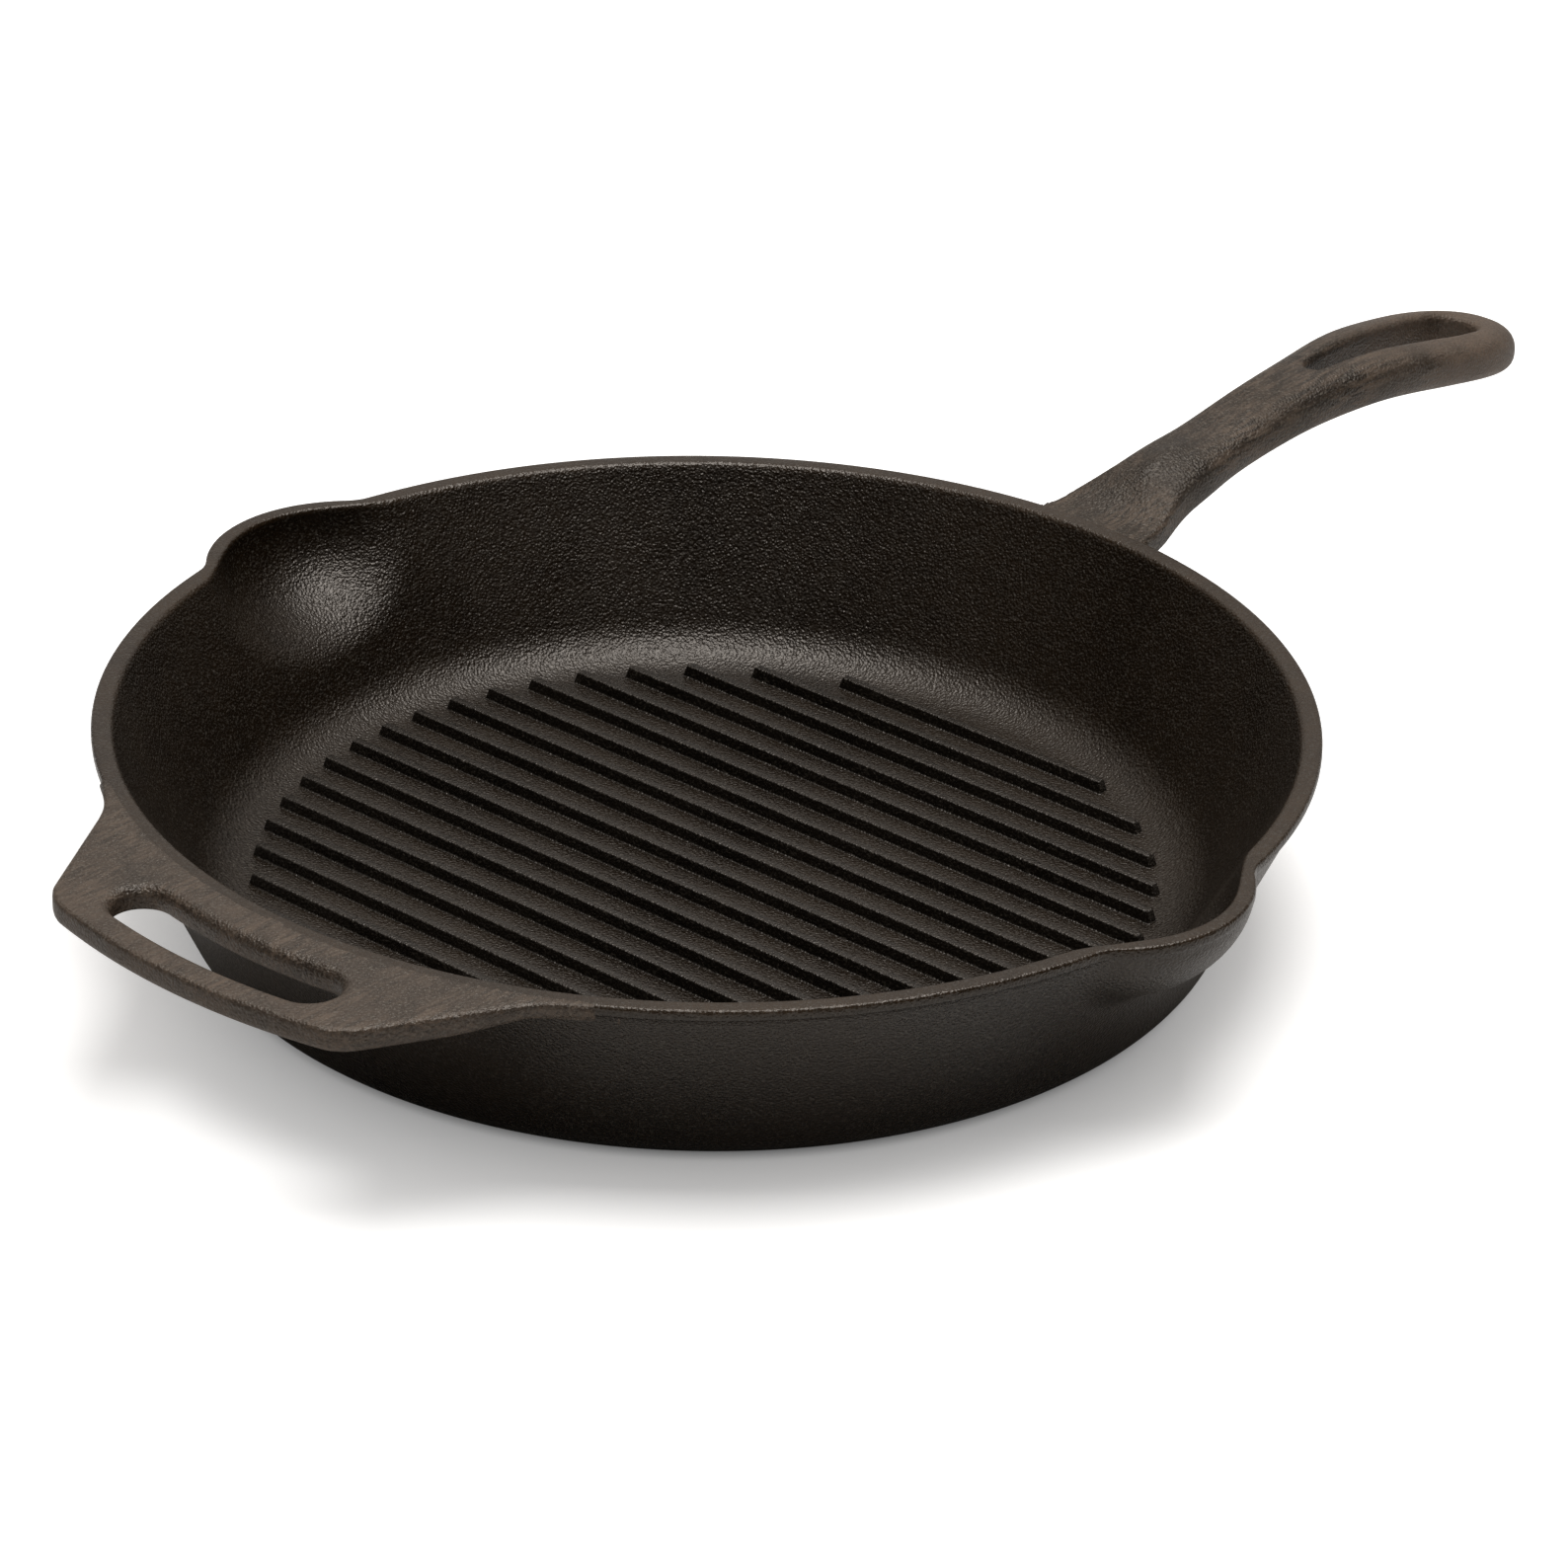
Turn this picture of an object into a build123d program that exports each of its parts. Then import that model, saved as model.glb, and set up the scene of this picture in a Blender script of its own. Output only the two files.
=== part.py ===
from build123d import *
import math
import os

os.makedirs("parts", exist_ok=True)

# Driving dimensions of the bowl. The origin is the centre of the resting face.
rim_radius = 155.0
rim_width = 5.0
rim_band_height = 3.0
rim_band_proud = 1.1
rim_edge_radius = 0.9
pan_height = 55.0
wall_flare = 24.0
base_edge_radius = 12.3
floor_thickness = 8.0
inner_flare = 26.0
floor_corner_radius = 18.0
overrun = 10.0
quarter_turn = 90

# Driving dimensions of the grill ribs
rib_pitch = 11.74
rib_height = 3.2
rib_foot_width = 3.4
rib_crest_width = 2.2
rib_crest_radius = 0.8
rib_root_radius = 0.9
rib_root_bite = 0.06
rib_end_slope = 1.8
rib_end_clearance = 9.35
rib_circle_margin = 2.2

# Driving dimensions of the pouring spouts
spout_inner_radius = 32.2
spout_inner_depth = 24.7
spout_wall = 4.3
spout_underside = 3.0
spout_reach = 10.3
spout_plan_blend = 12.0
spout_outer_blend = 8.0
spout_inner_blend = 16.0
spout_half_angle = 17.0
spout_depth_margin = 1.5

# Driving dimensions of the helper handle
helper_reach = 33.0
helper_thickness = 6.4
helper_half_angle = 14.6
helper_flank_angle = 29.5
helper_corner_radius = 7.0
helper_rim_blend = 60.0
helper_top_edge_radius = 1.2
helper_slot_edge_radius = 2.4
helper_bottom_edge_radius = 2.5
helper_bar_width = 9.5
helper_root_width = 8.5
helper_end_width = 10.4

# Driving dimensions of the long handle
handle_length = 182.2
handle_root_half_width = 16.3
handle_root_flare = 3.0
handle_neck_half_width = 10.0
handle_loop_half_width = 17.0
handle_root_thickness = 7.6
handle_thickness = 12.9
handle_arch_rise = 16.0
handle_top_edge_radius = 3.2
handle_bottom_edge_radius = 3.8

# Driving dimensions of the hanging hole in the long handle
hole_length = 78.0
hole_half_width = 9.0
hole_tip_inset = 12.0
hole_edge_radius = 1.2

# Places along the long handle, as shares of the sizes that they follow
plan_reach_shares = (0.03, 0.14, 0.27, 0.55, 0.82)
taper_width_share = 0.34
swell_width_share = 0.26
side_reach_shares = (0.055, 0.137, 0.247, 0.384, 0.549, 0.714, 0.862, 1.0)
side_rise_shares = (0.075, 0.38, 0.65, 0.875, 1.0, 0.77, 0.47, 0.1)
side_depth_shares = (0.0, 0.21, 0.48, 0.82, 1.0, 0.76, 0.69, 0.72)
hole_reach_shares = (0.14, 0.42, 0.75, 0.9)
hole_width_shares = (0.45, 0.76, 0.99, 0.87)

# Sizes worked out from the ones above
wall_top_radius = rim_radius - rim_band_proud
wall_top_height = pan_height - rim_band_height
base_radius = wall_top_radius - wall_flare
inner_top_radius = rim_radius - rim_width
floor_radius = inner_top_radius - inner_flare
floor_height = floor_thickness
rib_circle_radius = floor_radius - rib_end_clearance
ribs_each_side = int((rib_circle_radius - rib_pitch / 2) / rib_pitch)
spout_outer_radius = spout_inner_radius + spout_wall
spout_outer_depth = spout_inner_depth + spout_underside
spout_centre_offset = rim_radius + spout_reach - spout_outer_radius
base_split_radius = rib_circle_radius + rib_end_slope + rib_circle_margin
helper_outer_radius = rim_radius + helper_reach
helper_slot_width = helper_reach - helper_bar_width - helper_root_width
helper_slot_half_length = (
    helper_outer_radius * math.sin(math.radians(helper_half_angle)) - helper_end_width)
handle_tip_x = rim_radius + handle_length


def revolved(points, corner, radius):
    """A solid of revolution about Z, with one corner of its outline rounded."""
    outline = make_face(Polyline(*points, close=True))
    chosen = outline.vertices().sort_by_distance(Vector(*corner))[0]
    rounded = fillet(chosen, radius)
    return revolve(Plane.XZ * rounded, Axis.Z)


def round_dish(width, depth):
    """A round dish with its flat side up: half an egg shape, width across by depth down."""
    quarter = Ellipse(width, depth) & Pos(width / 2, -depth / 2) * Rectangle(width, depth)
    return revolve(Plane.XZ * quarter, Axis.Z)


def outer_body(top):
    """The outside form of the bowl up to the height top, with both spout bulges blended on."""
    slope = (wall_top_radius - base_radius) / wall_top_height
    foot = (base_radius, 0)
    points = [(0, 0), foot, (base_radius + slope * top, top), (0, top)]
    body = revolved(points, foot, base_edge_radius)
    bulge = round_dish(spout_outer_radius, spout_outer_depth)
    for side in (1, -1):
        body += Pos(0, side * spout_centre_offset, pan_height) * bulge
    body -= Pos(0, 0, top) * Cylinder(
        rim_radius + spout_reach + overrun, overrun + rim_band_height,
        align=(Align.CENTER, Align.CENTER, Align.MIN))
    seams = [
        edge for edge in body.edges()
        if edge.geom_type not in (GeomType.CIRCLE, GeomType.LINE)
        and abs(edge.center().Y) > base_radius
        and edge.bounding_box().size.Z > rim_width
    ]
    return fillet(seams, spout_outer_blend)


def cavity_body():
    """The space inside the bowl, with both spout dishes blended on."""
    slope = (inner_top_radius - floor_radius) / (pan_height - floor_height)
    top = pan_height + overrun
    floor_corner = (floor_radius, floor_height)
    points = [
        (0, floor_height), floor_corner,
        (floor_radius + slope * (top - floor_height), top), (0, top)]
    space = revolved(points, floor_corner, floor_corner_radius)
    dish = round_dish(spout_inner_radius, spout_inner_depth) + Cylinder(
        spout_inner_radius, overrun, align=(Align.CENTER, Align.CENTER, Align.MIN))
    for side in (1, -1):
        space += Pos(0, side * spout_centre_offset, pan_height) * dish
    ridges = [
        edge for edge in space.edges()
        if edge.geom_type not in (GeomType.CIRCLE, GeomType.LINE)
        and abs(edge.center().Y) > rib_circle_radius
        and edge.bounding_box().size.Z > rim_width
    ]
    return fillet(ridges, spout_inner_blend)


def rim_plan():
    """The rim's outline seen from above, with the two spouts blended into the circle."""
    plan = Circle(rim_radius)
    for side in (1, -1):
        plan += Pos(0, side * spout_centre_offset) * Circle(spout_outer_radius)
    corners = [
        v for v in plan.vertices()
        if math.hypot(v.X, v.Y) < rim_radius + rim_width and abs(v.X) > rim_width]
    return fillet(corners, spout_plan_blend)


def spout_zone(side):
    """The block of space that one spout is cut out of."""
    reach = rim_radius + spout_reach + overrun
    half = reach * math.tan(math.radians(spout_half_angle))
    wedge = make_face(Polyline((0, 0), (half, side * reach), (-half, side * reach), close=True))
    low = pan_height - spout_outer_depth - spout_depth_margin
    return Pos(0, 0, low) * extrude(wedge, wall_top_height - low)


def bowl_nodes():
    """Base plate, side wall, rim band and the two spouts, all cut from one shell."""
    cavity = cavity_body()
    shell = outer_body(wall_top_height) - cavity
    core = Cylinder(base_split_radius, pan_height, align=(Align.CENTER, Align.CENTER, Align.MIN))
    base = shell & core
    wall = shell - core
    nodes = {"pan_base": base}
    for name, side in (("left_pour_spout", 1), ("right_pour_spout", -1)):
        zone = spout_zone(side)
        nodes[name] = wall & zone
        wall -= zone
    nodes["side_wall"] = wall
    band = extrude(Pos(0, 0, wall_top_height) * rim_plan(), rim_band_height)
    outer_edges = [e for e in band.edges() if abs(e.center().Z - pan_height) < rim_edge_radius
                   or abs(e.center().Z - wall_top_height) < rim_edge_radius]
    nodes["rim_band"] = fillet(outer_edges, rim_edge_radius) - cavity
    return nodes


def grill_rib(x, base):
    """One straight rib across the floor, narrow at its crest, with sloping ends."""
    foot = floor_height - rib_root_bite
    section = make_face(Polyline(
        (x - rib_foot_width / 2, foot), (x + rib_foot_width / 2, foot),
        (x + rib_crest_width / 2, floor_height + rib_height),
        (x - rib_crest_width / 2, floor_height + rib_height), close=True))
    section += Pos(x, foot - rib_height / 2) * Rectangle(rib_pitch, rib_height)
    crest = section.vertices().group_by(Axis.Y)[-1]
    section = fillet(crest, rib_crest_radius)
    roots = [v for v in section.vertices()
             if abs(v.Y - foot) < rib_root_radius / 2 and abs(v.X - x) < rib_foot_width]
    section = fillet(roots, rib_root_radius)
    section &= Pos(x, floor_height + rib_height / 2) * Rectangle(rib_pitch, rib_height)
    rib = extrude(Plane.XZ * section, rib_circle_radius + rib_end_slope, both=True)
    crest_end = math.sqrt(rib_circle_radius**2 - x**2)
    foot_end = crest_end + rib_end_slope
    side = make_face(Polyline(
        (-foot_end, floor_height), (foot_end, floor_height),
        (crest_end, floor_height + rib_height), (-crest_end, floor_height + rib_height), close=True))
    rib = (rib & Pos(x, 0, 0) * extrude(Plane.YZ * side, rib_pitch, both=True)) - base
    return rib.solids().sort_by(SortBy.VOLUME)[-1]


def helper_plan():
    """The helper handle's outline, joined to the rim's circle by two wide concave flanks."""
    half = math.radians(helper_half_angle)
    tip_x = -helper_outer_radius * math.cos(half)
    tip_y = helper_outer_radius * math.sin(half)
    spread = math.tan(math.radians(helper_flank_angle))
    outer_x = -helper_outer_radius - overrun
    outer_y = tip_y - (tip_x - outer_x) * spread
    root_x = -rim_radius / 2
    root_y = tip_y + (root_x - tip_x) * spread
    block = make_face(Polyline(
        (outer_x, -outer_y), (outer_x, outer_y), (root_x, root_y), (root_x, -root_y), close=True))
    plan = Circle(rim_radius) + (block & Circle(helper_outer_radius))
    roots = [v for v in plan.vertices()
             if abs(math.hypot(v.X, v.Y) - rim_radius) < rim_width and abs(v.Y) > rim_width]
    plan = fillet(roots, helper_rim_blend)
    tips = [v for v in plan.vertices()
            if abs(math.hypot(v.X, v.Y) - helper_outer_radius) < rim_width / 2]
    return fillet(tips, helper_corner_radius)


def helper_root():
    """The sector about the handle's middle line that the concave flanks end in."""
    half = math.radians(helper_half_angle)
    flank = math.radians(helper_flank_angle)
    flank_distance = helper_outer_radius * math.sin(flank + half)
    spread = math.acos((flank_distance + helper_rim_blend) / (rim_radius + helper_rim_blend))
    reach = helper_outer_radius + overrun
    side = reach * math.tan(math.pi / 2 - flank - spread)
    return make_face(Polyline((0, 0), (-reach, -side), (-reach, side), close=True))


def helper_slot():
    """The finger slot in the helper handle: a round-ended slot that follows the rim."""
    outer = helper_outer_radius - helper_bar_width
    middle = outer - helper_slot_width / 2
    half = math.asin((helper_slot_half_length - helper_slot_width / 2) / middle)
    wedge = make_face(Polyline(
        (0, 0), (-helper_outer_radius, -math.tan(half) * helper_outer_radius),
        (-helper_outer_radius, math.tan(half) * helper_outer_radius), close=True))
    slot = (Circle(outer) - Circle(outer - helper_slot_width)) & wedge
    for side in (1, -1):
        slot += Pos(-middle * math.cos(half), side * middle * math.sin(half)) * Circle(
            helper_slot_width / 2)
    return slot


def in_slot(edge):
    """True for an edge of the finger slot, false for one of the outline."""
    middle = edge.center()
    reach = math.hypot(middle.X, middle.Y)
    return (abs(middle.Y) < helper_slot_half_length
            and rim_radius < reach < helper_outer_radius - helper_bar_width / 2)


def free_edges(plate, height):
    """The helper handle's level edges at one height, without those that meet the bowl."""
    flank_x = -rim_radius * math.cos(math.radians(helper_flank_angle + helper_half_angle))
    return [e for e in plate.edges().filter_by(Plane.XY)
            if e.center().X < flank_x and abs(e.center().Z - height) < helper_thickness / 4]


def helper_handle(cutters):
    """The short handle opposite the long one, flush with the rim's top."""
    low = pan_height - helper_thickness
    outline = (helper_plan() - Circle(rim_radius - rim_width)) & helper_root()
    plate = extrude(Pos(0, 0, low) * outline, helper_thickness)
    plate -= extrude(Pos(0, 0, low - overrun) * helper_slot(), helper_thickness + 2 * overrun)
    outer = [e for e in free_edges(plate, pan_height) if not in_slot(e)]
    plate = fillet(outer, helper_top_edge_radius)
    inner = [e for e in free_edges(plate, pan_height) if in_slot(e)]
    plate = fillet(inner, helper_slot_edge_radius)
    plate = fillet(free_edges(plate, low), helper_bottom_edge_radius)
    for cutter in cutters:
        plate -= cutter
    return plate


def handle_plan():
    """The long handle's outline seen from above: wide root, narrow neck, wide loop."""
    start = rim_radius - rim_width * 2
    root_x, taper_x, neck_x, swell_x, loop_x = [
        rim_radius + share * handle_length for share in plan_reach_shares]
    taper_y = handle_neck_half_width + taper_width_share * (
        handle_root_half_width - handle_neck_half_width)
    swell_y = handle_neck_half_width + swell_width_share * (
        handle_loop_half_width - handle_neck_half_width)
    corner = (start, handle_root_half_width + handle_root_flare)
    widest = (loop_x, handle_loop_half_width)
    side = Spline(
        corner, (root_x, handle_root_half_width), (taper_x, taper_y),
        (neck_x, handle_neck_half_width), (swell_x, swell_y), widest,
        tangents=[(rim_width, -handle_root_flare), (rim_width, 0)])
    nose = EllipticalCenterArc(
        (loop_x, 0), handle_tip_x - loop_x, handle_loop_half_width,
        start_angle=0, arc_size=quarter_turn)
    end = Line(corner, (start, -corner[1]))
    return make_face([side, nose, mirror(nose, Plane.XZ), mirror(side, Plane.XZ), end])


def handle_side():
    """The long handle's outline seen from the side: it climbs from the rim and arches over."""
    start = rim_radius - rim_width * 2
    x = [start] + [rim_radius + share * handle_length for share in side_reach_shares]
    top = [pan_height] + [pan_height + share * handle_arch_rise for share in side_rise_shares]
    extra = handle_thickness - handle_root_thickness
    depth = [handle_root_thickness] + [
        handle_root_thickness + share * extra for share in side_depth_shares]
    bottom = [z - d for z, d in zip(top, depth)]
    upper = Spline(*zip(x, top))
    lower = Spline(*zip(x, bottom))
    ends = [Line((place, low), (place, high)) for place, low, high in (
        (x[0], bottom[0], top[0]), (x[-1], bottom[-1], top[-1]))]
    return make_face([upper, lower] + ends)


def hanging_hole():
    """The long drop-shaped hole near the end of the long handle."""
    outer_x = handle_tip_x - hole_tip_inset
    inner_x = outer_x - hole_length
    middle = [(inner_x + share * hole_length, width * hole_half_width)
              for share, width in zip(hole_reach_shares, hole_width_shares)]
    side = Spline((inner_x, 0), *middle, (outer_x, 0), tangents=[(0, rim_width), (0, -rim_width)])
    return make_face([side, mirror(side, Plane.XZ)])


def rounded_bar(bar):
    """The bar with its upper and lower long edges rounded."""
    start = rim_radius - rim_width * 2
    for sign, radius in ((1, handle_top_edge_radius), (-1, handle_bottom_edge_radius)):
        faces = [f for f in bar.faces() if sign * f.normal_at().Z > abs(f.normal_at().X)]
        edges = [e for f in faces for e in f.edges() if e.center().X > start + rim_width]
        bar = fillet(edges, radius)
    return bar


def long_handle(cutters):
    """The long arched handle with its rounded edges and its hanging hole."""
    tall = pan_height + handle_arch_rise + overrun
    bar = extrude(handle_plan(), tall) & extrude(
        Plane.XZ * handle_side(), handle_loop_half_width + overrun, both=True)
    bar = rounded_bar(bar)
    outer_x = handle_tip_x - hole_tip_inset + hole_edge_radius
    inner_x = outer_x - hole_length - 2 * hole_edge_radius
    bar -= extrude(hanging_hole(), tall)
    rims = [e for e in bar.edges()
            if e.bounding_box().min.X > inner_x and e.bounding_box().max.X < outer_x
            and abs(e.center().Y) < hole_half_width + hole_edge_radius
            and e.bounding_box().size.X > hole_half_width]
    bar = fillet(rims, hole_edge_radius)
    for cutter in cutters:
        bar -= cutter
    return bar


nodes = bowl_nodes()
rim_disc = Pos(0, 0, wall_top_height) * Cylinder(
    rim_radius, rim_band_height, align=(Align.CENTER, Align.CENTER, Align.MIN))
cutters = [outer_body(wall_top_height), rim_disc]
nodes["helper_handle"] = helper_handle(cutters)
nodes["long_handle"] = long_handle(cutters)
for index in range(-ribs_each_side, ribs_each_side + 1):
    name = f"grill_rib_{index + ribs_each_side + 1:02d}"
    nodes[name] = grill_rib(-index * rib_pitch, nodes["pan_base"])

for name, shape in nodes.items():
    export_step(shape, f"parts/{name}.step")
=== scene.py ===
import bpy
import math
import numpy as np
from mathutils import Matrix, Vector


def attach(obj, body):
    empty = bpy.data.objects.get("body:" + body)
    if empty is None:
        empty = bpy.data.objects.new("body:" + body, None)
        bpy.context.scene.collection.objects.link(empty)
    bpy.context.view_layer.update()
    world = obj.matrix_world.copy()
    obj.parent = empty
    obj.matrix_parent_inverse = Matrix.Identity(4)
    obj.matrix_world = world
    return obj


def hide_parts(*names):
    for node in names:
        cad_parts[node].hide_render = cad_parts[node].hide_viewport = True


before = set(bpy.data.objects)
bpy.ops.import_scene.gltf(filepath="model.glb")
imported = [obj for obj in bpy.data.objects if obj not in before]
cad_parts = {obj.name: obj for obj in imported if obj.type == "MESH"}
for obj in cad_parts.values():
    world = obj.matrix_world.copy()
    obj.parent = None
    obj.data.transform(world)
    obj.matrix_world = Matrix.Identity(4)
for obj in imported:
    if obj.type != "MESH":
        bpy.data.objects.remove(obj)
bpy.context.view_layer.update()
mm = 0.001
print("frame loaded", len(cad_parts), "nodes")


# Selecting, measuring and blending, used by every piece below.

def clearSelection():
    if bpy.context.mode != "OBJECT":
        bpy.ops.object.mode_set(mode="OBJECT")
    bpy.ops.object.select_all(action="DESELECT")


def pick(thing):
    clearSelection()
    thing.select_set(True)
    bpy.context.view_layer.objects.active = thing
    return thing


def nameIt(name):
    thing = bpy.context.object
    thing.name = name
    thing.data.name = name
    return thing


def editOn(thing, selectMode="VERT"):
    pick(thing)
    bpy.ops.object.mode_set(mode="EDIT")
    bpy.ops.mesh.select_mode(type=selectMode)


def editOff():
    bpy.ops.object.mode_set(mode="OBJECT")


def chooseFaces(thing, wanted):  # ends in edit mode, only these selected
    editOn(thing)
    bpy.ops.mesh.select_all(action="DESELECT")
    editOff()
    for face in thing.data.polygons:
        face.select = bool(wanted(face))
    editOn(thing, "FACE")


def chooseEdges(thing, wanted):
    editOn(thing, "EDGE")
    bpy.ops.mesh.select_all(action="DESELECT")
    editOff()
    for edge in thing.data.edges:
        edge.select = bool(wanted(*(thing.data.vertices[i].co for i in edge.vertices)))
    editOn(thing, "EDGE")


def applyPlace(thing):
    pick(thing)
    bpy.ops.object.transform_apply(location=True, rotation=True, scale=True)


def finishModifier(thing, name):
    pick(thing)
    bpy.ops.object.modifier_apply(modifier=name)


def facesOutward(thing):
    editOn(thing)
    bpy.ops.mesh.select_all(action="SELECT")
    bpy.ops.mesh.remove_doubles(threshold=0.00001)
    bpy.ops.mesh.normals_make_consistent(inside=False)
    editOff()


def readPoints(thing):
    flat = np.zeros(len(thing.data.vertices) * 3)
    thing.data.vertices.foreach_get("co", flat)
    return flat.reshape(-1, 3) / mm  # millimetres


def writePoints(thing, points):
    thing.data.vertices.foreach_set("co", (points * mm).ravel())
    thing.data.update()


def curveThrough(table):  # a smooth curve through a few measured places
    x = np.array([row[0] for row in table], float)
    y = np.array([row[1] for row in table], float)
    count = len(x)
    gap = np.diff(x)
    grid = np.zeros((count, count))
    side = np.zeros(count)
    grid[0, 0] = grid[-1, -1] = 1
    for i in range(1, count - 1):
        grid[i, i - 1:i + 2] = gap[i - 1], 2 * (gap[i - 1] + gap[i]), gap[i]
        side[i] = 6 * ((y[i + 1] - y[i]) / gap[i] - (y[i] - y[i - 1]) / gap[i - 1])
    bend = np.linalg.solve(grid, side)

    def at(place):
        place = np.clip(place, x[0], x[-1])
        i = np.clip(np.searchsorted(x, place) - 1, 0, count - 2)
        a = (x[i + 1] - place) / gap[i]
        b = (place - x[i]) / gap[i]
        return (a * y[i] + b * y[i + 1]
                + ((a**3 - a) * bend[i] + (b**3 - b) * bend[i + 1]) * gap[i]**2 / 6)
    return at


def smoothStep(value, low, high):
    share = np.clip((value - low) / (high - low), 0, 1)
    return share * share * (3 - 2 * share)


def joined(a, b, radius):  # both solids, with a hollow rounding between them
    return np.maximum(radius, np.minimum(a, b)) - np.hypot(
        np.maximum(radius - a, 0), np.maximum(radius - b, 0))


def shared(a, b, radius):  # what both solids share, with a rounded edge
    return np.minimum(-radius, np.maximum(a, b)) + np.hypot(
        np.maximum(radius + a, 0), np.maximum(radius + b, 0))


def eggDistance(points, centre, across, down):
    q = points - np.array(centre)
    size = np.array((across, across, down))
    near = np.linalg.norm(q / size, axis=1)
    steep = np.maximum(np.linalg.norm(q / size**2, axis=1), 1e-9)
    return near * (near - 1) / steep


def settle(thing, field, rounds=5, longest=1.5):
    points = readPoints(thing)
    h = 0.02
    for _ in range(rounds):
        value, moved = field(points)
        slope = np.zeros_like(points)
        for axis in range(3):
            step = np.zeros(3)
            step[axis] = h
            slope[:, axis] = (field(points + step)[0] - field(points - step)[0]) / (2 * h)
        size = np.maximum((slope**2).sum(1), 0.05)
        move = slope * (value / size)[:, None]
        length = np.maximum(np.linalg.norm(move, axis=1), 1e-9)
        move *= np.minimum(1, longest / length)[:, None]
        points -= move * moved[:, None]
    writePoints(thing, points)


# The camera that took the photo, as fitted to the rim, the ribs and the base.

cameraValues = {
    "place": (-1.109992, -0.986986, 0.804240),
    "yaw": 0.712939, "pitchDown": 0.478196, "roll": 0.021503,
    "lens": 151.319, "sensor": 36.0, "shiftX": -0.002444, "shiftY": 0.000147,
}


def addCamera():
    v = cameraValues
    bpy.ops.object.camera_add(location=v["place"])
    camera = bpy.context.object
    camera.name = "photoCamera"
    ahead = Vector((math.cos(v["pitchDown"]) * math.cos(v["yaw"]),
                    math.cos(v["pitchDown"]) * math.sin(v["yaw"]), -math.sin(v["pitchDown"])))
    right = ahead.cross(Vector((0, 0, 1))).normalized()
    up = right.cross(ahead)
    tiltedRight = right * math.cos(v["roll"]) + up * math.sin(v["roll"])
    tiltedUp = up * math.cos(v["roll"]) - right * math.sin(v["roll"])
    camera.rotation_euler = Matrix((tiltedRight, tiltedUp, -ahead)).transposed().to_euler()
    camera.data.lens = v["lens"]
    camera.data.sensor_width = v["sensor"]
    camera.data.shift_x = v["shiftX"]
    camera.data.shift_y = v["shiftY"]
    camera.data.clip_start = 0.05
    camera.data.clip_end = 30
    bpy.context.scene.camera = camera


addCamera()
print("camera placed")


# The bowl is a spun profile. Its two spouts are then drawn out of the wall.
# Lengths are in millimetres, in this and in all the tables that follow.

bowlValues = {
    "footRadius": 129.9, "footRounding": 12.3, "wallSlope": 24 / 52, "wallHeight": 51.4,
    "bandFoot": 52.1, "bandSide": ((153.95, 51.75), (154.35, 52.05), (154.75, 52.3),
                                   (154.95, 52.65), (155, 53.1), (155, 53.6)),
    "bandMiddle": 53.2, "rimRadius": 155.0, "rimInner": 150.0, "rimHeight": 55.0,
    "rimRounding": 0.9, "innerRounding": 1.9, "lipWidth": 1.3, "lipDepth": 0.8,
    "floorRadius": 124.0, "floorHeight": 8.0, "floorRounding": 18.0, "innerSlope": 26 / 47,
    "columns": 320, "crowding": 0.45, "underRows": 7, "footRows": 9, "wallRows": 30,
    "rimRows": 4, "topRows": 3, "lipRows": 5, "cornerRows": 14, "floorRows": 8,
    "spoutCentre": 128.3, "bulge": (37.0, 27.2), "dish": (32.5, 25.4),
    "bulgeFoot": 7.2, "dishFoot": 17.4, "spoutSpread": 0.85,
    "planBlend": 1.8, "bulgeBlend": 2.4, "dishBlend": 7.0, "bandBlend": 0.5,
}


def outerRadius(z):
    return bowlValues["footRadius"] + bowlValues["wallSlope"] * z


def innerRadius(z):
    v = bowlValues
    return v["floorRadius"] + v["innerSlope"] * (z - v["floorHeight"])


def roundedCorner(before, corner, after, radius, steps):
    a = np.subtract(before, corner) / np.linalg.norm(np.subtract(before, corner))
    b = np.subtract(after, corner) / np.linalg.norm(np.subtract(after, corner))
    half = math.acos(np.clip(np.dot(a, b), -1, 1)) / 2
    start = np.array(corner) + a * radius / math.tan(half)
    end = np.array(corner) + b * radius / math.tan(half)
    middle = np.array(corner) + (a + b) / np.linalg.norm(a + b) * radius / math.sin(half)
    first = math.atan2(*(start - middle)[::-1])
    turn = math.atan2(*(end - middle)[::-1]) - first
    turn = (turn + math.pi) % (2 * math.pi) - math.pi
    return [tuple(middle + radius * np.array((math.cos(first + turn * i / steps),
                                              math.sin(first + turn * i / steps))))
            for i in range(steps + 1)]


def evenly(start, end, count):  # places strictly between two points
    return [tuple(np.add(start, np.subtract(end, start) * i / (count + 1)))
            for i in range(1, count + 1)]


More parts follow.
